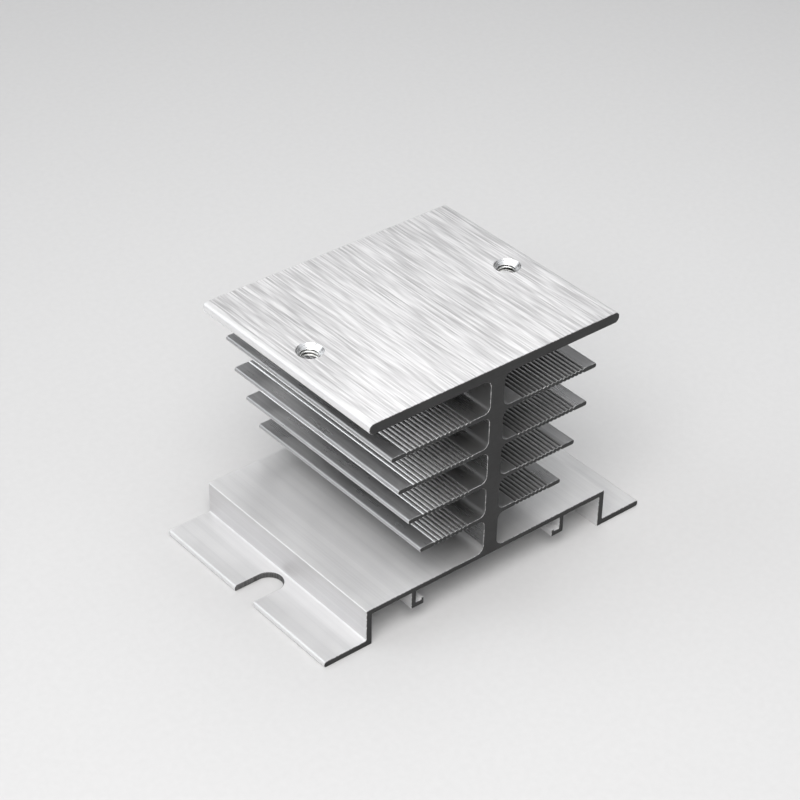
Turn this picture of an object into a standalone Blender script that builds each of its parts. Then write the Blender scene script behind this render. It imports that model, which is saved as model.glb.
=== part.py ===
"""Heat sink for a single-phase solid state relay: one length of aluminium extrusion.

The section is drawn in the XZ plane and runs along Y. A flat plate on top takes the relay,
a web with ribbed fins on both sides stands on a tray, and the tray steps down to two feet.
Two hooks under the tray hold a 35 mm mounting rail. The feet stand on Z = 0, and the
origin is the middle of the footprint.
"""
import math

import bmesh
import bpy
from mathutils import Matrix, Vector

MM = 0.001

# Overall sizes
LENGTH = 50.0 * MM            # of the cut extrusion, along Y
BASE_WIDTH = 80.0 * MM        # across both feet
HEIGHT = 50.6 * MM            # feet to relay face

# Plate that takes the relay
PLATE_WIDTH = 60.2 * MM
PLATE_THICKNESS = 2.3 * MM
PLATE_EDGE_FLAT = 0.1 * MM    # what is left flat between the two rounded edges

# Web and fins
WEB_THICKNESS = 3.4 * MM
WEB_END_FILLET = 1.6 * MM     # web to plate and web to tray
FIN_THICKNESS = 1.05 * MM
FIN_REACHES = (17.6 * MM, 20.6 * MM, 23.2 * MM, 25.0 * MM)   # centre line to tip, lowest fin first
FIN_RISE = 0.25 * MM          # how far the fins sit above even spacing between tray and plate
FIN_FILLET = 1.4 * MM
FIN_TIP_FLAT = 0.1 * MM
RIB_PITCH = 1.0 * MM
RIB_GROOVE_DEPTH = 0.25 * MM
RIB_TIP_LAND = 3.0 * MM       # plain stretch between the fin's tip and its first groove
RIB_ROOT_LAND = 3.5 * MM      # least plain stretch between the web and the last groove

# Tray, risers and feet
TRAY_TOP = 8.4 * MM
TRAY_THICKNESS = 1.15 * MM
TRAY_WIDTH = 60.2 * MM        # outside of the risers
RISER_THICKNESS = 1.3 * MM
FOOT_THICKNESS = 1.3 * MM
OUTSIDE_CORNER = 0.2 * MM
INSIDE_CORNER = 0.3 * MM
FOOT_TIP_RADIUS = 0.5 * MM
SLOT_WIDTH = 5.8 * MM         # open slot in each foot, for a 4 or 5 mm screw
SLOT_TO_RISER = 1.1 * MM

# Hooks for the mounting rail
RAIL_WIDTH = 35.0 * MM
RAIL_PLAY = 1.4 * MM          # clearance between the rail and both hook legs together
HOOK_THICKNESS = 1.1 * MM
HOOK_MOUTH = 2.7 * MM         # tray to hook foot, where the rail's flange goes
HOOK_REACH = 1.9 * MM         # how far a hook foot reaches in under the rail
HOOK_LIP_WIDTH = 0.6 * MM
HOOK_LIP_RISE = 0.45 * MM
HOOK_RADIUS = 0.15 * MM

# Tapped holes for the relay's screws
HOLE_PITCH = 48.0 * MM
THREAD_MINOR = 3.3 * MM
COUNTERSINK = 5.4 * MM

ARC_STEP = math.radians(15.0)  # length of one straight piece of a rounded corner
ROUND_SIDES = 48
OVERCUT = 1.0 * MM             # how far a cutter runs past the face it cuts
DRAWN_ANGLE = math.radians(90.0)
WELD = 0.001 * MM

ALUMINIUM = (0.80, 0.80, 0.82, 1.0)

COLLECTION = "relay_heat_sink"
NODE = "heat_sink_extrusion"


def clear_scene():
    for old in list(bpy.data.objects):
        bpy.data.objects.remove(old, do_unlink=True)


def collection(name):
    group = bpy.data.collections.new(name)
    bpy.context.scene.collection.children.link(group)
    return group


def metal(name, colour, roughness):
    material = bpy.data.materials.new(name)
    material.use_nodes = True
    shader = material.node_tree.nodes["Principled BSDF"]
    shader.inputs["Base Color"].default_value = colour
    shader.inputs["Metallic"].default_value = 1.0
    shader.inputs["Roughness"].default_value = roughness
    return material


def rounded(corners):
    """Turn (x, z, radius) corners into points, with each rounded corner as an arc."""
    points = []
    last = len(corners) - 1
    for i, (x, z, radius) in enumerate(corners):
        if radius <= 0.0 or i in (0, last):
            points.append((x, z))
            continue
        before, after = corners[i - 1], corners[i + 1]
        to_before = (before[0] - x, before[1] - z)
        to_after = (after[0] - x, after[1] - z)
        room_before, room_after = math.hypot(*to_before), math.hypot(*to_after)
        u = (to_before[0] / room_before, to_before[1] / room_before)
        v = (to_after[0] / room_after, to_after[1] / room_after)
        corner_angle = math.acos(max(-1.0, min(1.0, u[0] * v[0] + u[1] * v[1])))
        setback = radius / math.tan(corner_angle / 2)
        reach = radius / math.sin(corner_angle / 2)
        middle = (u[0] + v[0], u[1] + v[1])
        size = math.hypot(*middle)
        centre = (x + middle[0] / size * reach, z + middle[1] / size * reach)
        start = (x + u[0] * setback, z + u[1] * setback)
        end = (x + v[0] * setback, z + v[1] * setback)
        angle = math.atan2(start[1] - centre[1], start[0] - centre[0])
        turn = math.atan2(end[1] - centre[1], end[0] - centre[0]) - angle
        turn = (turn + math.pi) % math.tau - math.pi
        steps = max(2, math.ceil(abs(turn) / ARC_STEP))
        for k in range(steps + 1):
            a = angle + turn * k / steps
            points.append((centre[0] + radius * math.cos(a), centre[1] + radius * math.sin(a)))
    return points


def grooves(web_face, reach, level, into):
    """Corners of the rib grooves on one face of a fin, from the web outwards.

    level is the height of the face, and into is -1 for a top face and +1 for an underside.
    """
    outer = reach - RIB_TIP_LAND
    room = outer - (web_face + RIB_ROOT_LAND)
    count = max(0, int(room / RIB_PITCH + 1e-6))
    corners = [(outer - count * RIB_PITCH, level, 0.0)]
    for k in range(count, 0, -1):
        corners.append((outer - (k - 0.5) * RIB_PITCH, level + into * RIB_GROOVE_DEPTH, 0.0))
        corners.append((outer - (k - 1) * RIB_PITCH, level, 0.0))
    return corners


def hook(tray_underside):
    """Corners of one rail hook, from its mouth round its foot to the outside of its leg."""
    inside = (RAIL_WIDTH + RAIL_PLAY) / 2
    outside = inside + HOOK_THICKNESS
    tip = inside - HOOK_REACH
    foot_top = tray_underside - HOOK_MOUTH
    foot_bottom = foot_top - HOOK_THICKNESS
    lip_top = foot_top + HOOK_LIP_RISE
    return [
        (inside, tray_underside, HOOK_RADIUS),
        (inside, foot_top, HOOK_RADIUS),
        (tip + HOOK_LIP_WIDTH, foot_top, HOOK_RADIUS),
        (tip + HOOK_LIP_WIDTH, lip_top, HOOK_RADIUS),
        (tip, lip_top, HOOK_RADIUS),
        (tip, foot_bottom, HOOK_RADIUS),
        (outside, foot_bottom, HOOK_RADIUS),
        (outside, tray_underside, HOOK_RADIUS),
    ]


def half_section():
    """Corners of the section's right half, from bottom centre round to top centre."""
    tray_underside = TRAY_TOP - TRAY_THICKNESS
    riser_outside = TRAY_WIDTH / 2
    riser_inside = riser_outside - RISER_THICKNESS
    foot_end = BASE_WIDTH / 2
    web_face = WEB_THICKNESS / 2
    plate_underside = HEIGHT - PLATE_THICKNESS
    plate_edge = PLATE_WIDTH / 2
    plate_radius = (PLATE_THICKNESS - PLATE_EDGE_FLAT) / 2
    tip_radius = (FIN_THICKNESS - FIN_TIP_FLAT) / 2

    corners = [(0.0, tray_underside, 0.0)]
    corners += hook(tray_underside)
    corners += [
        (riser_inside, tray_underside, INSIDE_CORNER),
        (riser_inside, 0.0, OUTSIDE_CORNER),
        (foot_end, 0.0, FOOT_TIP_RADIUS),
        (foot_end, FOOT_THICKNESS, FOOT_TIP_RADIUS),
        (riser_outside, FOOT_THICKNESS, INSIDE_CORNER),
        (riser_outside, TRAY_TOP, OUTSIDE_CORNER),
        (web_face, TRAY_TOP, WEB_END_FILLET),
    ]
    spacing = (plate_underside - TRAY_TOP) / (len(FIN_REACHES) + 1)
    for i, reach in enumerate(FIN_REACHES):
        middle = TRAY_TOP + (i + 1) * spacing + FIN_RISE
        underside = middle - FIN_THICKNESS / 2
        top = middle + FIN_THICKNESS / 2
        corners.append((web_face, underside, FIN_FILLET))
        corners += grooves(web_face, reach, underside, 1)
        corners.append((reach, underside, tip_radius))
        corners.append((reach, top, tip_radius))
        corners += reversed(grooves(web_face, reach, top, -1))
        corners.append((web_face, top, FIN_FILLET))
    corners += [
        (web_face, plate_underside, WEB_END_FILLET),
        (plate_edge, plate_underside, plate_radius),
        (plate_edge, HEIGHT, plate_radius),
        (0.0, HEIGHT, 0.0),
    ]
    return rounded(corners)


def solid_from_outline(name, outline, thickness, place):
    """A closed mesh: the outline, filled and thickened evenly to both sides of its plane.

    The outline is drawn on its side and the mesh turned back, because a curve's fill can
    leave slivers where many corners lie on one level.
    """
    drawn_turn = Matrix.Rotation(DRAWN_ANGLE, 4, "Z")
    curve = bpy.data.curves.new(name + "_outline", "CURVE")
    curve.dimensions = "2D"
    curve.fill_mode = "BOTH"
    curve.extrude = thickness / 2
    spline = curve.splines.new("POLY")
    spline.points.add(len(outline) - 1)
    for point, (x, y) in zip(spline.points, outline):
        point.co = (*(drawn_turn @ Vector((x, y, 0.0))), 1.0)
    spline.use_cyclic_u = True
    drawn = bpy.data.objects.new(name + "_outline", curve)
    bpy.context.scene.collection.objects.link(drawn)
    drawn.matrix_world = place @ drawn_turn.inverted()
    bpy.context.view_layer.update()
    evaluated = drawn.evaluated_get(bpy.context.evaluated_depsgraph_get())
    mesh = bpy.data.meshes.new_from_object(evaluated)
    mesh.name = name
    mesh.transform(drawn.matrix_world)
    solid = bpy.data.objects.new(name, mesh)
    bpy.data.objects.remove(drawn, do_unlink=True)
    bpy.data.curves.remove(curve)

    shape = bmesh.new()
    shape.from_mesh(mesh)
    bmesh.ops.remove_doubles(shape, verts=shape.verts, dist=WELD)
    bmesh.ops.recalc_face_normals(shape, faces=shape.faces)
    shape.to_mesh(mesh)
    shape.free()
    return solid


def turned_solid(name, profile, place):
    """A solid of revolution about Z: (radius, height) points run down its outer side."""
    mesh = bpy.data.meshes.new(name)
    points = [(radius, 0.0, height) for radius, height in profile]
    mesh.from_pydata(points, [(i, i + 1) for i in range(len(points) - 1)], [])
    solid = bpy.data.objects.new(name, mesh)
    solid.matrix_world = place
    turn = solid.modifiers.new("turn", "SCREW")
    turn.steps = ROUND_SIDES
    turn.render_steps = ROUND_SIDES
    turn.use_merge_vertices = True
    turn.merge_threshold = WELD
    return solid


def hole_profile():
    """Profile of a tapped hole's cutter: a countersink over the thread's minor diameter."""
    radius = THREAD_MINOR / 2
    slope_bottom = HEIGHT - (COUNTERSINK - THREAD_MINOR) / 2
    top = HEIGHT + OVERCUT
    bottom = HEIGHT - PLATE_THICKNESS - OVERCUT
    return [(0.0, top), (COUNTERSINK / 2 + OVERCUT, top), (radius, slope_bottom), (radius, bottom), (0.0, bottom)]


def slot_outline(side):
    """Outline of one foot's slot: a round end near the riser, open past the foot's edge."""
    radius = SLOT_WIDTH / 2
    centre = TRAY_WIDTH / 2 + SLOT_TO_RISER + radius
    mouth = max(BASE_WIDTH / 2, centre) + OVERCUT
    steps = ROUND_SIDES // 2
    outline = [(side * mouth, radius)]
    for k in range(steps + 1):
        a = math.pi / 2 + math.pi * k / steps
        outline.append((side * (centre + radius * math.cos(a)), radius * math.sin(a)))
    outline.append((side * mouth, -radius))
    return outline


def cut(body, cutter, group):
    group.objects.link(cutter)
    cutter.hide_render = True
    cutter.display_type = "WIRE"
    modifier = body.modifiers.new("cut_" + cutter.name, "BOOLEAN")
    modifier.operation = "DIFFERENCE"
    modifier.solver = "EXACT"
    modifier.object = cutter


def heat_sink(parts, cutters):
    right = half_section()
    left = [(-x, z) for x, z in reversed(right[1:-1])]
    upright = Matrix.Rotation(math.pi / 2, 4, "X")
    body = solid_from_outline(NODE, right + left, LENGTH, upright)
    body.data.materials.append(metal("aluminium", ALUMINIUM, 0.35))
    parts.objects.link(body)

    for name, side in (("left", -1), ("right", 1)):
        hole_place = Matrix.Translation((side * HOLE_PITCH / 2, 0.0, 0.0))
        cut(body, turned_solid("hole_" + name, hole_profile(), hole_place), cutters)
        slot_depth = 2 * (FOOT_THICKNESS + OVERCUT)
        cut(body, solid_from_outline("slot_" + name, slot_outline(side), slot_depth, Matrix.Identity(4)), cutters)

    body.data.shade_smooth()
    body.data.set_sharp_from_angle(angle=math.radians(30))
    return body


def main():
    clear_scene()
    heat_sink(collection(COLLECTION), collection("cutters"))


main()
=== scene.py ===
"""A relay heat sink, sawn from aluminium extrusion, on a pale floor in soft studio light."""

import math

import bmesh
import bpy
from mathutils import Matrix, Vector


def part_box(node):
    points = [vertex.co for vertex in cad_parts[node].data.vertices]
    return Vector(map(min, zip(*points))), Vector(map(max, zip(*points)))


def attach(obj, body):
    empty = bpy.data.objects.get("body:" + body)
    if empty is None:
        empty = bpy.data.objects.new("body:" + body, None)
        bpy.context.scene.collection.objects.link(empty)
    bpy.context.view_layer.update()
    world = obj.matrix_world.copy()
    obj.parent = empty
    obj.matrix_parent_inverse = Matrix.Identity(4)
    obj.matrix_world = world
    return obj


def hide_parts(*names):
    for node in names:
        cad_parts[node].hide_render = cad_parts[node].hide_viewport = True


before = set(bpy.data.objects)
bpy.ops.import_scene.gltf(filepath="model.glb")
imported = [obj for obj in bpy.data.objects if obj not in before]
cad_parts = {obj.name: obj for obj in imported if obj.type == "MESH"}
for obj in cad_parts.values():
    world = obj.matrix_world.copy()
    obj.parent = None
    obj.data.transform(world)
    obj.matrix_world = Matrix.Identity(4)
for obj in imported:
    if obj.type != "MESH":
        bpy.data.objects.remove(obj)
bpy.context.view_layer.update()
NODE = "heat_sink_extrusion"
LOW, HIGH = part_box(NODE)

MM = 0.001

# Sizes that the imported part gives
LENGTH = HIGH.y - LOW.y
HEIGHT = HIGH.z
FOOT_END = HIGH.x

# The section's own sizes
PLATE_WIDTH = 60.2 * MM
PLATE_THICKNESS = 2.3 * MM
PLATE_EDGE_RADIUS = 1.1 * MM
WEB_FACE = 1.7 * MM                     # half the web's thickness
WEB_FILLET = 1.6 * MM
FIN_THICKNESS = 1.05 * MM
FIN_TIP_RADIUS = 0.475 * MM
FIN_REACHES = (17.6 * MM, 20.6 * MM, 23.2 * MM, 25.0 * MM)   # lowest fin first
FIN_RISE = 0.25 * MM
FIN_FILLET = 1.4 * MM
RIB_PITCH = 1.0 * MM
RIB_DEPTH = 0.25 * MM
RIB_TIP_LAND = 3.0 * MM
RIB_ROOT_LAND = 3.5 * MM
TRAY_TOP = 8.4 * MM
TRAY_THICKNESS = 1.15 * MM
RISER_OUTSIDE = 30.1 * MM
RISER_THICKNESS = 1.3 * MM
FOOT_THICKNESS = 1.3 * MM
FOOT_TIP_RADIUS = 0.5 * MM
OUTSIDE_CORNER = 0.2 * MM
INSIDE_CORNER = 0.3 * MM
HOOK_INSIDE = 18.2 * MM
HOOK_THICKNESS = 1.1 * MM
HOOK_MOUTH = 2.7 * MM
HOOK_REACH = 1.9 * MM
HOOK_LIP_WIDTH = 0.6 * MM
HOOK_LIP_RISE = 0.45 * MM
HOOK_RADIUS = 0.15 * MM

FIN_SPACING = (HEIGHT - PLATE_THICKNESS - TRAY_TOP) / (len(FIN_REACHES) + 1)

# What is cut into it
SAW_EDGE_BREAK = 0.07 * MM
SLOT_WIDTH = 5.8 * MM
SLOT_TO_RISER = 1.1 * MM
SLOT_EDGE_BREAK = 0.12 * MM
HOLE_OFFSET = 24.0 * MM
THREAD_MINOR = 1.65 * MM                # radii
THREAD_MAJOR = 2.0 * MM
THREAD_PITCH = 0.7 * MM
THREAD_TURNS = 5
THREAD_STEPS = 36                       # in one turn
COUNTERSINK = 2.7 * MM                  # radius at the face
SINK_SIDES = 61
SINK_OVERLAP = 0.3 * MM                 # how far its cutter goes on into the thread

# For cutting and joining
OVERCUT = 1.0 * MM                      # how far a cutter stands out past a face
WELD = 0.001 * MM                       # places closer than this are one place
ROUNDING = 1e-6                         # keeps a whole count of ribs whole

# Which way a face looks, as the cosine between its normal and an axis
LOOKS_SQUARE = 0.99
LOOKS_LEVEL = 0.95
LOOKS_MOSTLY = 0.9
LOOKS_PARTLY = 0.3
SHARP_ANGLE = math.radians(28)          # an edge that turns more than this looks sharp


# ---- Shaping -------------------------------------------------------------------------------

def run_of_edges(shape, places):
    """Straight edges through (x, z) places of the section. Returns their vertices."""
    verts = [shape.verts.new((x, 0.0, z)) for x, z in places]
    for a, b in zip(verts, verts[1:]):
        shape.edges.new((a, b))
    return verts


def round_corners(shape, verts, radius, segments):
    bmesh.ops.bevel(shape, geom=verts, offset=radius, offset_type="ABSOLUTE", affect="VERTICES",
                    segments=segments, profile=0.5)


def weld(shape):
    bmesh.ops.remove_doubles(shape, verts=shape.verts, dist=WELD)


def all_but(shape, known):
    """A shape's vertices and edges that aren't among the known ones, in the shape's own order."""
    return [part for part in shape.verts[:] + shape.edges[:] if part not in known]


def rib_row(shape, start, count, level):
    """Round ribs side by side along a fin's top face, with a sharp valley between each pair."""
    half = RIB_PITCH / 2
    radius = (half * half + RIB_DEPTH * RIB_DEPTH) / (2 * RIB_DEPTH)
    known = set(shape.verts[:] + shape.edges[:])
    crest = shape.verts.new((start, 0.0, level))
    bmesh.ops.spin(shape, geom=[crest], cent=(start, 0.0, level - radius), axis=(0.0, 1.0, 0.0),
                   angle=math.asin(half / radius), steps=5)
    valley = Matrix.Translation((-start - half, 0.0, 0.0))
    bmesh.ops.mirror(shape, geom=all_but(shape, known), matrix=valley, merge_dist=WELD, axis="X")
    bmesh.ops.spin(shape, geom=all_but(shape, known), cent=(0.0, 0.0, 0.0), axis=(0.0, 1.0, 0.0),
                   angle=0.0, dvec=(RIB_PITCH, 0.0, 0.0), steps=count - 1, use_duplicate=True)


def rib_zone(reach):
    """Where a fin's ribs start and end, and how many whole ribs fit there."""
    ribs_end = reach - RIB_TIP_LAND
    count = int((ribs_end - WEB_FACE - RIB_ROOT_LAND) / RIB_PITCH + ROUNDING)
    return ribs_end - count * RIB_PITCH, ribs_end, count


def fin_middles():
    """The fins' heights, lowest first."""
    return [TRAY_TOP + (i + 1) * FIN_SPACING + FIN_RISE for i in range(len(FIN_REACHES))]


def fin(shape, middle, reach, half_gap):
    """One fin's outline: its upper half, then that half mirrored about the fin's middle."""
    half = bmesh.new()
    top = middle + FIN_THICKNESS / 2
    ribs_start, ribs_end, count = rib_zone(reach)
    root = run_of_edges(half, [(WEB_FACE, middle + half_gap), (WEB_FACE, top), (ribs_start, top)])
    tip = run_of_edges(half, [(ribs_end, top), (reach, top), (reach, middle)])
    round_corners(half, [root[1]], FIN_FILLET, segments=7)
    round_corners(half, [tip[1]], FIN_TIP_RADIUS, segments=5)
    rib_row(half, ribs_start, count, top)
    weld(half)
    level = Matrix.Translation((0.0, 0.0, -middle))
    bmesh.ops.mirror(half, geom=half.verts[:] + half.edges[:], matrix=level, merge_dist=WELD,
                     axis="Z")
    join(shape, half)


def join(shape, other):
    """Puts other's geometry into shape, and frees other."""
    mesh = bpy.data.meshes.new("joining")
    other.to_mesh(mesh)
    other.free()
    shape.from_mesh(mesh)
    bpy.data.meshes.remove(mesh)


def base(shape, first_gap):
    """Outline of the rail hook, riser, foot and tray, from the centre line to the web."""
    underside = TRAY_TOP - TRAY_THICKNESS
    hook_outside = HOOK_INSIDE + HOOK_THICKNESS
    hook_tip = HOOK_INSIDE - HOOK_REACH
    hook_top = underside - HOOK_MOUTH
    hook_bottom = hook_top - HOOK_THICKNESS
    riser_inside = RISER_OUTSIDE - RISER_THICKNESS
    verts = run_of_edges(shape, [
        (0.0, underside),
        (HOOK_INSIDE, underside),
        (HOOK_INSIDE, hook_top),
        (hook_tip + HOOK_LIP_WIDTH, hook_top),
        (hook_tip + HOOK_LIP_WIDTH, hook_top + HOOK_LIP_RISE),
        (hook_tip, hook_top + HOOK_LIP_RISE),
        (hook_tip, hook_bottom),
        (hook_outside, hook_bottom),
        (hook_outside, underside),
        (riser_inside, underside),
        (riser_inside, 0.0),
        (FOOT_END, 0.0),
        (FOOT_END, FOOT_THICKNESS),
        (RISER_OUTSIDE, FOOT_THICKNESS),
        (RISER_OUTSIDE, TRAY_TOP),
        (WEB_FACE, TRAY_TOP),
        (WEB_FACE, first_gap),
    ])
    round_corners(shape, verts[1:9], HOOK_RADIUS, segments=3)
    round_corners(shape, [verts[9], verts[13]], INSIDE_CORNER, segments=4)
    round_corners(shape, [verts[10], verts[14]], OUTSIDE_CORNER, segments=3)
    round_corners(shape, verts[11:13], FOOT_TIP_RADIUS, segments=5)
    round_corners(shape, [verts[15]], WEB_FILLET, segments=8)


def plate(shape, last_gap):
    """Outline of the top plate, from the web round its full edge to the centre line."""
    underside = HEIGHT - PLATE_THICKNESS
    verts = run_of_edges(shape, [
        (WEB_FACE, last_gap),
        (WEB_FACE, underside),
        (PLATE_WIDTH / 2, underside),
        (PLATE_WIDTH / 2, HEIGHT),
        (0.0, HEIGHT),
    ])
    round_corners(shape, [verts[1]], WEB_FILLET, segments=8)
    round_corners(shape, verts[2:4], PLATE_EDGE_RADIUS, segments=7)


def extrusion():
    """The bare length, with both saw cuts' edges broken."""
    shape = bmesh.new()
    middles = fin_middles()
    base(shape, middles[0] - FIN_SPACING / 2)
    for middle, reach in zip(middles, FIN_REACHES):
        fin(shape, middle, reach, FIN_SPACING / 2)
    plate(shape, middles[-1] + FIN_SPACING / 2)
    weld(shape)
    bmesh.ops.mirror(shape, geom=shape.verts[:] + shape.edges[:], matrix=Matrix.Identity(4),
                     merge_dist=WELD, axis="X")
    cut_face = bmesh.ops.contextual_create(shape, geom=shape.edges[:])["faces"]
    bmesh.ops.translate(shape, verts=shape.verts, vec=(0.0, LOW.y + SAW_EDGE_BREAK, 0.0))
    swept = bmesh.ops.extrude_face_region(shape, geom=cut_face, use_keep_orig=True)["geom"]
    far_verts = [g for g in swept if isinstance(g, bmesh.types.BMVert)]
    bmesh.ops.translate(shape, verts=far_verts, vec=(0.0, LENGTH - 2 * SAW_EDGE_BREAK, 0.0))
    bmesh.ops.recalc_face_normals(shape, faces=shape.faces)
    ends = [f for f in shape.faces if abs(f.normal.y) > LOOKS_MOSTLY]
    bmesh.ops.inset_region(shape, faces=ends, thickness=SAW_EDGE_BREAK, depth=SAW_EDGE_BREAK,
                           use_even_offset=True, use_boundary=True)
    return shape


def slot_face(shape, grown, height):
    """The outline of a right-hand slot, grown all round, as one face at a height."""
    half = SLOT_WIDTH / 2 + grown
    inner = RISER_OUTSIDE + SLOT_TO_RISER - grown
    outer = FOOT_END + OVERCUT + grown
    face = bmesh.ops.create_grid(shape, x_segments=1, y_segments=1, size=0.5)["verts"]
    bmesh.ops.scale(shape, vec=(outer - inner, 2 * half, 1.0), verts=face)
    bmesh.ops.translate(shape, vec=((outer + inner) / 2, 0.0, height), verts=face)
    closed_end = [v for v in face if v.co.x < (inner + outer) / 2]
    round_corners(shape, closed_end, half - WELD, segments=16)


def slot_cutter(side):
    """Cuts one foot's open slot. Its flared rims break the slot's top and bottom edges."""
    shape = bmesh.new()
    slot_face(shape, OVERCUT, FOOT_THICKNESS - SLOT_EDGE_BREAK + OVERCUT)
    slot_face(shape, 0.0, FOOT_THICKNESS - SLOT_EDGE_BREAK)
    slot_face(shape, 0.0, SLOT_EDGE_BREAK)
    slot_face(shape, OVERCUT, SLOT_EDGE_BREAK - OVERCUT)
    rims = sorted(shape.faces, key=lambda face: face.calc_center_median().z)
    for lower, upper in zip(rims, rims[1:]):
        bmesh.ops.bridge_loops(shape, edges=lower.edges[:] + upper.edges[:])
    bmesh.ops.delete(shape, geom=rims[1:-1], context="FACES_ONLY")
    if side < 0:
        bmesh.ops.rotate(shape, cent=(0.0, 0.0, 0.0), matrix=Matrix.Rotation(math.pi, 3, "Z"),
                         verts=shape.verts)
    bmesh.ops.recalc_face_normals(shape, faces=shape.faces)
    return shape


def tap_cutter(x):
    """Cuts a tapped hole: one pitch of thread, spun up round the hole's axis, with flat ends."""
    shape = bmesh.new()
    crest, root = THREAD_PITCH / 4, THREAD_PITCH / 8
    flank = (THREAD_PITCH - crest - root) / 2
    low = HEIGHT - PLATE_THICKNESS - 2 * THREAD_PITCH
    run_of_edges(shape, [
        (THREAD_MINOR, low),
        (THREAD_MINOR, low + crest),
        (THREAD_MAJOR, low + crest + flank),
        (THREAD_MAJOR, low + crest + flank + root),
        (THREAD_MINOR, low + THREAD_PITCH),
    ])
    bmesh.ops.spin(shape, geom=shape.verts[:] + shape.edges[:], cent=(0.0, 0.0, 0.0),
                   axis=(0.0, 0.0, 1.0), dvec=(0.0, 0.0, THREAD_PITCH / THREAD_STEPS),
                   angle=math.tau * THREAD_TURNS, steps=THREAD_STEPS * THREAD_TURNS)
    weld(shape)
    flat_ends = {
        "clear_inner": low + 1.5 * THREAD_PITCH,
        "clear_outer": low + (THREAD_TURNS - 0.2) * THREAD_PITCH,
    }
    for side, height in flat_ends.items():
        everything = shape.verts[:] + shape.edges[:] + shape.faces[:]
        bmesh.ops.bisect_plane(shape, geom=everything, plane_co=(0.0, 0.0, height),
                               plane_no=(0.0, 0.0, 1.0), **{side: True})
    bmesh.ops.holes_fill(shape, edges=[e for e in shape.edges if e.is_boundary])
    bmesh.ops.triangulate(shape, faces=shape.faces)
    bmesh.ops.translate(shape, vec=(x, 0.0, 0.0), verts=shape.verts)
    bmesh.ops.recalc_face_normals(shape, faces=shape.faces)
    return shape


def countersink_cutter(x):
    """Cuts a countersink with sides at 45 degrees."""
    shape = bmesh.new()
    point, rim = THREAD_MINOR - SINK_OVERLAP, COUNTERSINK + OVERCUT
    depth = rim - point
    bmesh.ops.create_cone(shape, cap_ends=True, segments=SINK_SIDES, radius1=point, radius2=rim,
                          depth=depth)
    bmesh.ops.translate(shape, vec=(x, 0.0, HEIGHT + OVERCUT - depth / 2), verts=shape.verts)
    return shape


def as_object(name, shape):
    """Makes an object of a shape, and frees the shape."""
    mesh = bpy.data.meshes.new(name)
    shape.to_mesh(mesh)
    shape.free()
    made = bpy.data.objects.new(name, mesh)
    bpy.context.scene.collection.objects.link(made)
    return made


def machined(body, cutters):
    """Takes each cutter's shape out of the body, and removes the cutters."""
    tools = []
    for i, shape in enumerate(cutters):
        tool = as_object(f"cutter_{i}", shape)
        modifier = body.modifiers.new(tool.name, "BOOLEAN")
        modifier.operation = "DIFFERENCE"
        modifier.solver = "EXACT"
        modifier.object = tool
        tools.append(tool)
    shaped = body.evaluated_get(bpy.context.evaluated_depsgraph_get())
    mesh = bpy.data.meshes.new_from_object(shaped)
    body.modifiers.clear()
    body.data = mesh
    for tool in tools:
        bpy.data.objects.remove(tool, do_unlink=True)


# ---- Finishes ------------------------------------------------------------------------------

LANE_STEP = 7.3                         # from one scratch's lane to the next, in the noise


class Value:
    """A number on its way through a finish's nodes. Arithmetic on it adds Math nodes."""

    def __init__(self, finish, socket):
        self.finish = finish
        self.socket = socket

    def __add__(self, other):
        return self.finish.maths("ADD", self, other)

    def __sub__(self, other):
        return self.finish.maths("SUBTRACT", self, other)

    def __rsub__(self, other):
        return self.finish.maths("SUBTRACT", other, self)

    def __mul__(self, other):
        return self.finish.maths("MULTIPLY", self, other)

    __radd__ = __add__
    __rmul__ = __mul__


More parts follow.
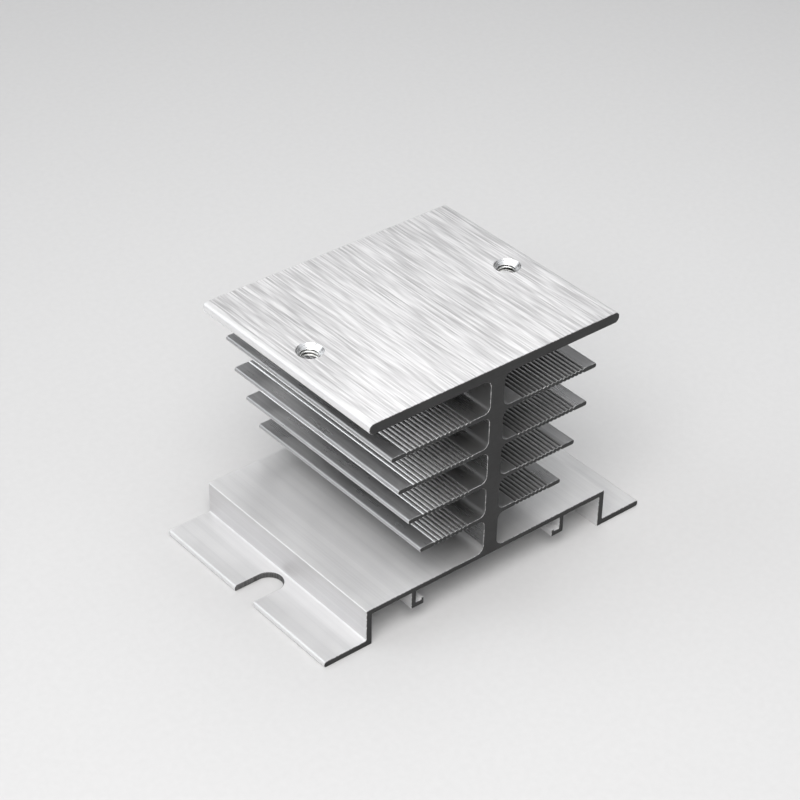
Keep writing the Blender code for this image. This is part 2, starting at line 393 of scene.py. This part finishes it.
class Finish:
    """A finish for the aluminium, with one metal shader."""

    def __init__(self, name, metallic):
        self.material = bpy.data.materials.new(name)
        self.material.use_nodes = True
        self.tree = self.material.node_tree
        self.shader = self.tree.nodes["Principled BSDF"]
        self.shader.inputs["Metallic"].default_value = metallic

    def node(self, kind, settings=None, values=None, output=0):
        """Adds a node. Its settings are set first, then the values or links of its sockets."""
        made = self.tree.nodes.new(kind)
        for setting, value in (settings or {}).items():
            setattr(made, setting, value)
        for socket, value in (values or {}).items():
            if isinstance(value, Value):
                self.tree.links.new(value.socket, made.inputs[socket])
            else:
                made.inputs[socket].default_value = value
        return Value(self, made.outputs[output])

    def maths(self, operation, *numbers):
        return self.node("ShaderNodeMath", {"operation": operation}, dict(enumerate(numbers)))

    def wear(self, socket, value):
        """Gives the shader a value that varies over the surface."""
        self.tree.links.new(value.socket, self.shader.inputs[socket])

    def place(self, axis=None):
        """Where a point is on the heat sink: all of it, or along one axis."""
        whole = self.node("ShaderNodeTexCoord", output="Object")
        return self.along(axis, whole) if axis else whole

    def along(self, axis, vector):
        return self.node("ShaderNodeSeparateXYZ", {}, {0: vector}, output=axis)

    def outward(self):
        """How far a point is from the web's middle plane."""
        return self.maths("ABSOLUTE", self.place("X"))

    def grain(self, cell, detail=2.0, roughness=0.5, turn=(0.0, 0.0, 0.0)):
        """Noise whose grain is about cell = (x, y, z) millimetres long."""
        placed = self.node("ShaderNodeMapping", {}, {
            "Vector": self.place(),
            "Rotation": turn,
            "Scale": tuple(1.0 / (size * MM) for size in cell),
        })
        return self.node("ShaderNodeTexNoise", {"noise_dimensions": "3D"}, {
            "Vector": placed, "Scale": 1.0, "Detail": detail, "Roughness": roughness,
        })

    def scratches(self, width, length):
        """Straight scratches along the extrusion, side by side, of a width and length in mm."""
        across = self.place("X") * (1.0 / (width * MM))
        along = self.place("Y") * (1.0 / (length * MM))
        lane = self.maths("FLOOR", across) * LANE_STEP
        placed = self.node("ShaderNodeCombineXYZ", {}, {0: lane, 1: along})
        return self.node("ShaderNodeTexNoise", {"noise_dimensions": "2D"}, {
            "Vector": placed, "Scale": 1.0, "Detail": 1.0,
        })

    def stretch(self, value, low, high, to_low=0.0, to_high=1.0):
        """Spreads low to high out over to_low to to_high, and clamps there."""
        return self.node("ShaderNodeMapRange", {"clamp": True}, {
            "Value": value, "From Min": low, "From Max": high, "To Min": to_low, "To Max": to_high,
        })

    def between(self, factor, colour_a, colour_b):
        """Mixes two colours, each an (r, g, b) or a colour that other nodes made."""
        a, b = [c if isinstance(c, Value) else (*c, 1.0) for c in (colour_a, colour_b)]
        return self.node("ShaderNodeMix", {"data_type": "RGBA"}, {0: factor, 6: a, 7: b}, output=2)

    def bump(self, height, distance):
        """Raises the surface by up to a distance, where height is 1."""
        self.wear("Normal", self.node("ShaderNodeBump", {}, {
            "Height": height, "Distance": distance, "Strength": 1.0,
        }))


def grey(level):
    return level, level, level


def brushed_face():
    """The relay face: belt-ground along the extrusion, in long and short scratches."""
    finish = Finish("brushed_relay_face", metallic=0.65)
    hair = finish.scratches(0.27, 9.0)
    scratch = finish.scratches(0.41, 16.0)
    band = finish.grain((1.0, 60.0, 1.0))
    cloud = finish.grain((12.0, 16.0, 12.0))
    fine = finish.stretch(hair, 0.34, 0.66)
    coarse = finish.stretch(scratch, 0.3, 0.58)
    wide = finish.stretch(band, 0.35, 0.65)
    tone = fine * 0.54 + coarse * 0.38 + wide * 0.08
    finish.wear("Base Color", finish.between(tone, (0.56, 0.555, 0.56), (1.0, 0.995, 1.0)))
    finish.wear("Roughness", 0.34 + fine * 0.10 + finish.stretch(cloud, 0.3, 0.7) * 0.03)
    finish.bump(wide, 0.004 * MM)
    return finish.material


def mill_face(name, metallic, gloss, dark, light, web_shade_colour):
    """As it left the die: soft gloss, with faint die lines that run the whole length.

    Its colour goes from dark to light in patches, and fades to painted shade near the web.
    """
    finish = Finish(name, metallic)
    line = finish.stretch(finish.grain((0.3, 300.0, 0.3), roughness=0.6), 0.35, 0.65)
    wide_line = finish.stretch(finish.grain((1.6, 500.0, 1.6), detail=1.0), 0.35, 0.65)
    cloud = finish.stretch(finish.grain((5.0, 8.0, 5.0), detail=3.0), 0.3, 0.7)
    scuff = finish.stretch(finish.grain((0.15, 2.5, 0.15), detail=1.0), 0.64, 0.74)
    tone = line * 0.35 + wide_line * 0.35 + cloud * 0.3
    # Painted shade: darker towards the web, where the fins and plate overhang
    painted_web_shade = finish.stretch(finish.outward(), 2.0 * MM, 20.0 * MM)
    finish.wear("Base Color", finish.between(painted_web_shade, web_shade_colour, finish.between(tone, dark, light)))
    finish.wear("Roughness", gloss + cloud * 0.08 + line * 0.04 + scuff * 0.08)
    finish.bump(line * 0.5 + wide_line * 0.6 + scuff * 0.2, 0.006 * MM)
    return finish.material


def ribbed_face():
    """The ribs: painted highlights on outer flanks, duller crests, painted shade on inner flanks,
    dark valleys.
    """
    finish = Finish("ribbed_face", metallic=0.9)
    facing = finish.along("X", finish.node("ShaderNodeNewGeometry", output="Normal"))
    slope = finish.maths("SIGN", finish.place("X")) * facing    # above 0 away from the web
    # Painted light by slope: bright where a flank faces away from the web, dark where it faces the
    # web
    outer = finish.stretch(slope, 0.1, 0.45, 0.62, 1.0)
    inner = finish.stretch(slope, -0.65, -0.3, 0.22, 1.0)
    valley = finish.stretch(slope, 0.72, 0.8, 1.0, 0.3)
    # Painted shade: darker towards the web
    painted_web_shade = finish.stretch(finish.outward(), 3.0 * MM, 14.0 * MM, 0.5, 1.0)
    line = finish.stretch(finish.grain((0.2, 60.0, 0.2)), 0.3, 0.7, 0.75, 1.0)
    tone = outer * inner * valley * painted_web_shade * line
    finish.wear("Base Color", finish.between(tone, grey(0.10), grey(0.98)))
    finish.wear("Roughness", 0.34 - tone * 0.12)
    return finish.material


def sawn_face():
    """The saw cuts: dark and matt, with a fine tooth pattern; the dark is a painted reflection."""
    finish = Finish("sawn_face", metallic=1.0)
    tooth = finish.grain((3.5, 1.0, 0.12), detail=3.0, roughness=0.6, turn=(0.0, 0.35, 0.0))
    grit = finish.grain((0.2, 0.2, 0.2), detail=3.0, roughness=0.7)
    cloud = finish.grain((7.0, 7.0, 7.0))
    tone = finish.stretch(tooth * 0.3 + grit * 0.4 + cloud * 0.3, 0.32, 0.68)
    # Painted reflection: near-black colour standing in for the dark surroundings these faces
    # mirror
    finish.wear("Base Color", finish.between(tone, grey(0.05), grey(0.09)))
    finish.wear("Roughness", finish.stretch(grit, 0.3, 0.7, 0.5, 0.65))
    finish.bump(tooth * 0.5 + grit * 0.5, 0.01 * MM)
    return finish.material


def burnished_edge():
    """The thin broken edge round each saw cut: dull, with bright specks where rubbing burnished
    it.
    """
    finish = Finish("burnished_edge", metallic=0.8)
    speck = finish.stretch(finish.grain((0.35, 0.35, 0.35), roughness=0.7), 0.45, 0.62)
    finish.wear("Base Color", finish.between(speck, grey(0.28), grey(0.8)))
    finish.wear("Roughness", finish.stretch(speck, 0.0, 1.0, 0.55, 0.3))
    return finish.material


def punched_face():
    """The walls of the foot slots: sheared dull, with upright marks from the punch."""
    finish = Finish("punched_face", metallic=0.9)
    mark = finish.stretch(finish.grain((0.25, 0.25, 3.0)), 0.35, 0.65)
    finish.wear("Base Color", finish.between(mark, grey(0.09), grey(0.2)))
    finish.wear("Roughness", 0.45 + mark * 0.15)
    finish.bump(mark, 0.01 * MM)
    return finish.material


def countersunk_face():
    """The countersinks: turned bright, with fine rings from the tool."""
    finish = Finish("countersunk_face", metallic=1.0)
    ring = finish.stretch(finish.grain((1.5, 1.5, 0.08)), 0.35, 0.65)
    finish.wear("Base Color", finish.between(ring, grey(0.8), grey(0.97)))
    finish.wear("Roughness", 0.22 + ring * 0.08)
    finish.bump(ring, 0.008 * MM)
    return finish.material


def thread_face():
    """The M4 threads: bright at the crests, with painted shade down in the roots."""
    finish = Finish("thread_face", metallic=1.0)
    across = finish.outward() - HOLE_OFFSET
    along = finish.place("Y")
    radius = finish.maths("SQRT", across * across + along * along)
    # Painted shade: darker towards the thread roots
    depth = finish.stretch(radius, THREAD_MINOR + 0.06 * MM, THREAD_MAJOR - 0.08 * MM)
    grit = finish.stretch(finish.grain((0.15, 0.15, 0.15)), 0.35, 0.65)
    finish.wear("Base Color", finish.between(depth, (0.9, 0.9, 0.88), (0.1, 0.1, 0.09)))
    finish.wear("Roughness", 0.2 + grit * 0.1)
    return finish.material


# The finishes' places in the heat sink's list of materials
BRUSHED, MILL, RISER, FIN, RIBBED, SAWN, EDGE, PUNCHED, COUNTERSUNK, THREAD = range(10)

SINK_SLACK = 0.03 * MM                  # how far a face's middle may lie from the countersink


def finish_of(place, normal):
    """Which finish a face of the heat sink has, from where it is and which way it looks."""
    outward, steep = abs(place.x), abs(normal.z) < LOOKS_LEVEL
    plate_bottom = HEIGHT - PLATE_THICKNESS
    from_hole = math.hypot(outward - HOLE_OFFSET, place.y)
    if steep and from_hole < COUNTERSINK and place.z > plate_bottom - WELD:
        sink_height = HEIGHT - COUNTERSINK + from_hole
        return COUNTERSUNK if abs(place.z - sink_height) < SINK_SLACK else THREAD

    from_end = LENGTH / 2 - abs(place.y)
    if from_end < SAW_EDGE_BREAK + WELD and abs(normal.y) > LOOKS_PARTLY:
        return SAWN if abs(normal.y) > LOOKS_SQUARE else EDGE

    slot_inner = RISER_OUTSIDE + SLOT_TO_RISER - SLOT_EDGE_BREAK
    in_slot = outward > slot_inner and abs(place.y) < SLOT_WIDTH / 2 + 2 * SLOT_EDGE_BREAK
    if steep and in_slot and place.z < FOOT_THICKNESS + WELD:
        return PUNCHED

    if place.z > HEIGHT - WELD:
        return BRUSHED
    on_riser = abs(outward - RISER_OUTSIDE) < WELD and place.z < TRAY_TOP
    if on_riser and abs(normal.x) > LOOKS_MOSTLY:
        return RISER
    if not TRAY_TOP + WEB_FILLET < place.z < plate_bottom + WELD:
        return MILL
    for middle, reach in zip(fin_middles(), FIN_REACHES):
        ribs_start, ribs_end, _ = rib_zone(reach)
        if ribs_start < outward < ribs_end and abs(place.z - middle) < FIN_THICKNESS:
            return RIBBED
    return FIN


def heat_sink():
    body = as_object("heat_sink", extrusion())
    cutters = []
    for side in (-1, 1):
        cutters.append(slot_cutter(side))
        cutters.append(tap_cutter(side * HOLE_OFFSET))
        cutters.append(countersink_cutter(side * HOLE_OFFSET))
    machined(body, cutters)
    base_finish = mill_face("mill_finish", metallic=0.6, gloss=0.38, dark=(0.77, 0.77, 0.775),
                            light=grey(0.90), web_shade_colour=grey(0.42))
    # A darker copy of the mill finish for the riser: painted shade on its outward face
    riser_shaded_finish = mill_face("riser_shaded_finish", metallic=0.6, gloss=0.38, dark=(0.55, 0.545, 0.55),
                             light=(0.67, 0.665, 0.67), web_shade_colour=(0.55, 0.545, 0.55))
    # A darker copy of the mill finish for the web and fins: painted shade among the fins
    fin_shaded_finish = mill_face("fin_shaded_finish", metallic=0.9, gloss=0.24, dark=(0.44, 0.44, 0.445),
                           light=(0.66, 0.66, 0.665), web_shade_colour=grey(0.34))
    for material in (brushed_face(), base_finish, riser_shaded_finish, fin_shaded_finish, ribbed_face(),
                     sawn_face(), burnished_edge(), punched_face(), countersunk_face(),
                     thread_face()):
        body.data.materials.append(material)
    for face in body.data.polygons:
        face.material_index = finish_of(face.center, face.normal)
    body.data.shade_smooth()
    body.data.set_sharp_from_angle(angle=SHARP_ANGLE)
    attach(body, "root")
    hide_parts(NODE)


# ---- Studio --------------------------------------------------------------------------------

CAMERA_PLACE = (-241.8 * MM, -284.2 * MM, 291.2 * MM)
CAMERA_AZIMUTH = math.radians(-40.13)
CAMERA_ELEVATION = math.radians(35.07)
CAMERA_ROLL = math.radians(1.36)
CAMERA_LENS = 106.5                     # millimetres, as is the sensor
CAMERA_SENSOR = 36.0
NEAREST, FARTHEST = 0.01, 20.0          # metres that the camera sees between

FLOOR_HALF = 4.0                        # metres
FLOOR_GAP = 0.02 * MM


def aim(azimuth, elevation):
    """The turn of something that looks back from an azimuth and an elevation, in radians."""
    return (Matrix.Rotation(azimuth, 4, "Z")
            @ Matrix.Rotation(math.pi / 2 - elevation, 4, "X"))


def camera():
    lens = bpy.data.cameras.new("camera")
    lens.lens = CAMERA_LENS
    lens.sensor_width = CAMERA_SENSOR
    lens.clip_start = NEAREST
    lens.clip_end = FARTHEST
    eye = bpy.data.objects.new("camera", lens)
    eye.matrix_world = (Matrix.Translation(CAMERA_PLACE) @ aim(CAMERA_AZIMUTH, CAMERA_ELEVATION)
                        @ Matrix.Rotation(CAMERA_ROLL, 4, "Z"))
    bpy.context.scene.collection.objects.link(eye)
    bpy.context.scene.camera = eye


def softbox(name, azimuth, elevation, distance, width, power, tint=(1.0, 1.0, 1.0)):
    """A soft square lamp aimed at the middle of the heat sink. Its angles are in degrees."""
    lamp = bpy.data.lights.new(name, "AREA")
    lamp.shape = "SQUARE"
    lamp.size = width
    lamp.energy = power
    lamp.color = tint
    holder = bpy.data.objects.new(name, lamp)
    middle = Matrix.Translation((0.0, 0.0, HEIGHT / 2))
    holder.matrix_world = (middle @ aim(math.radians(azimuth), math.radians(elevation))
                           @ Matrix.Translation((0.0, 0.0, distance)))
    bpy.context.scene.collection.objects.link(holder)


def floor():
    shape = bmesh.new()
    bmesh.ops.create_grid(shape, x_segments=1, y_segments=1, size=FLOOR_HALF)
    bmesh.ops.translate(shape, vec=(0.0, 0.0, LOW.z - FLOOR_GAP), verts=shape.verts)
    sheet = as_object("floor", shape)
    paper = Finish("pale_paper", metallic=0.0)
    fibre = paper.grain((1.5, 1.5, 1.5), detail=3.0)
    paper.wear("Base Color", paper.between(fibre, grey(0.58), grey(0.62)))
    paper.shader.inputs["Roughness"].default_value = 0.9
    sheet.data.materials.append(paper.material)


def lamps():
    cool, warm = (0.94, 0.97, 1.0), (1.0, 0.98, 0.97)
    softbox("overhead_softbox", azimuth=0.0, elevation=85.0, distance=0.8, width=0.6, power=1.6)
    softbox("back_left_softbox", azimuth=-128.0, elevation=38.0, distance=0.9, width=0.7,
            power=2.1, tint=cool)
    softbox("front_left_softbox", azimuth=-50.0, elevation=50.0, distance=0.7, width=0.5,
            power=4.6, tint=warm)
    softbox("right_softbox", azimuth=30.0, elevation=42.0, distance=0.7, width=0.6, power=0.55,
            tint=cool)
    softbox("near_softbox", azimuth=118.0, elevation=65.0, distance=0.32, width=0.24, power=0.26)


def room():
    """An even pale room, a little brighter overhead."""
    world = bpy.data.worlds.new("studio")
    world.use_nodes = True
    tree = world.node_tree
    sky = tree.nodes["Background"]
    sky.inputs["Color"].default_value = (0.97, 0.98, 1.0, 1.0)
    direction = tree.nodes.new("ShaderNodeTexCoord")
    parts = tree.nodes.new("ShaderNodeSeparateXYZ")
    dome = tree.nodes.new("ShaderNodeMapRange")
    dome.interpolation_type = "SMOOTHSTEP"
    for socket, value in {"From Min": 0.3, "From Max": 0.9, "To Min": 0.2, "To Max": 0.22}.items():
        dome.inputs[socket].default_value = value
    tree.links.new(direction.outputs["Generated"], parts.inputs[0])
    tree.links.new(parts.outputs["Z"], dome.inputs["Value"])
    tree.links.new(dome.outputs[0], sky.inputs["Strength"])
    bpy.context.scene.world = world
    bpy.context.scene.view_settings.view_transform = "Standard"


heat_sink()
camera()
floor()
lamps()
room()
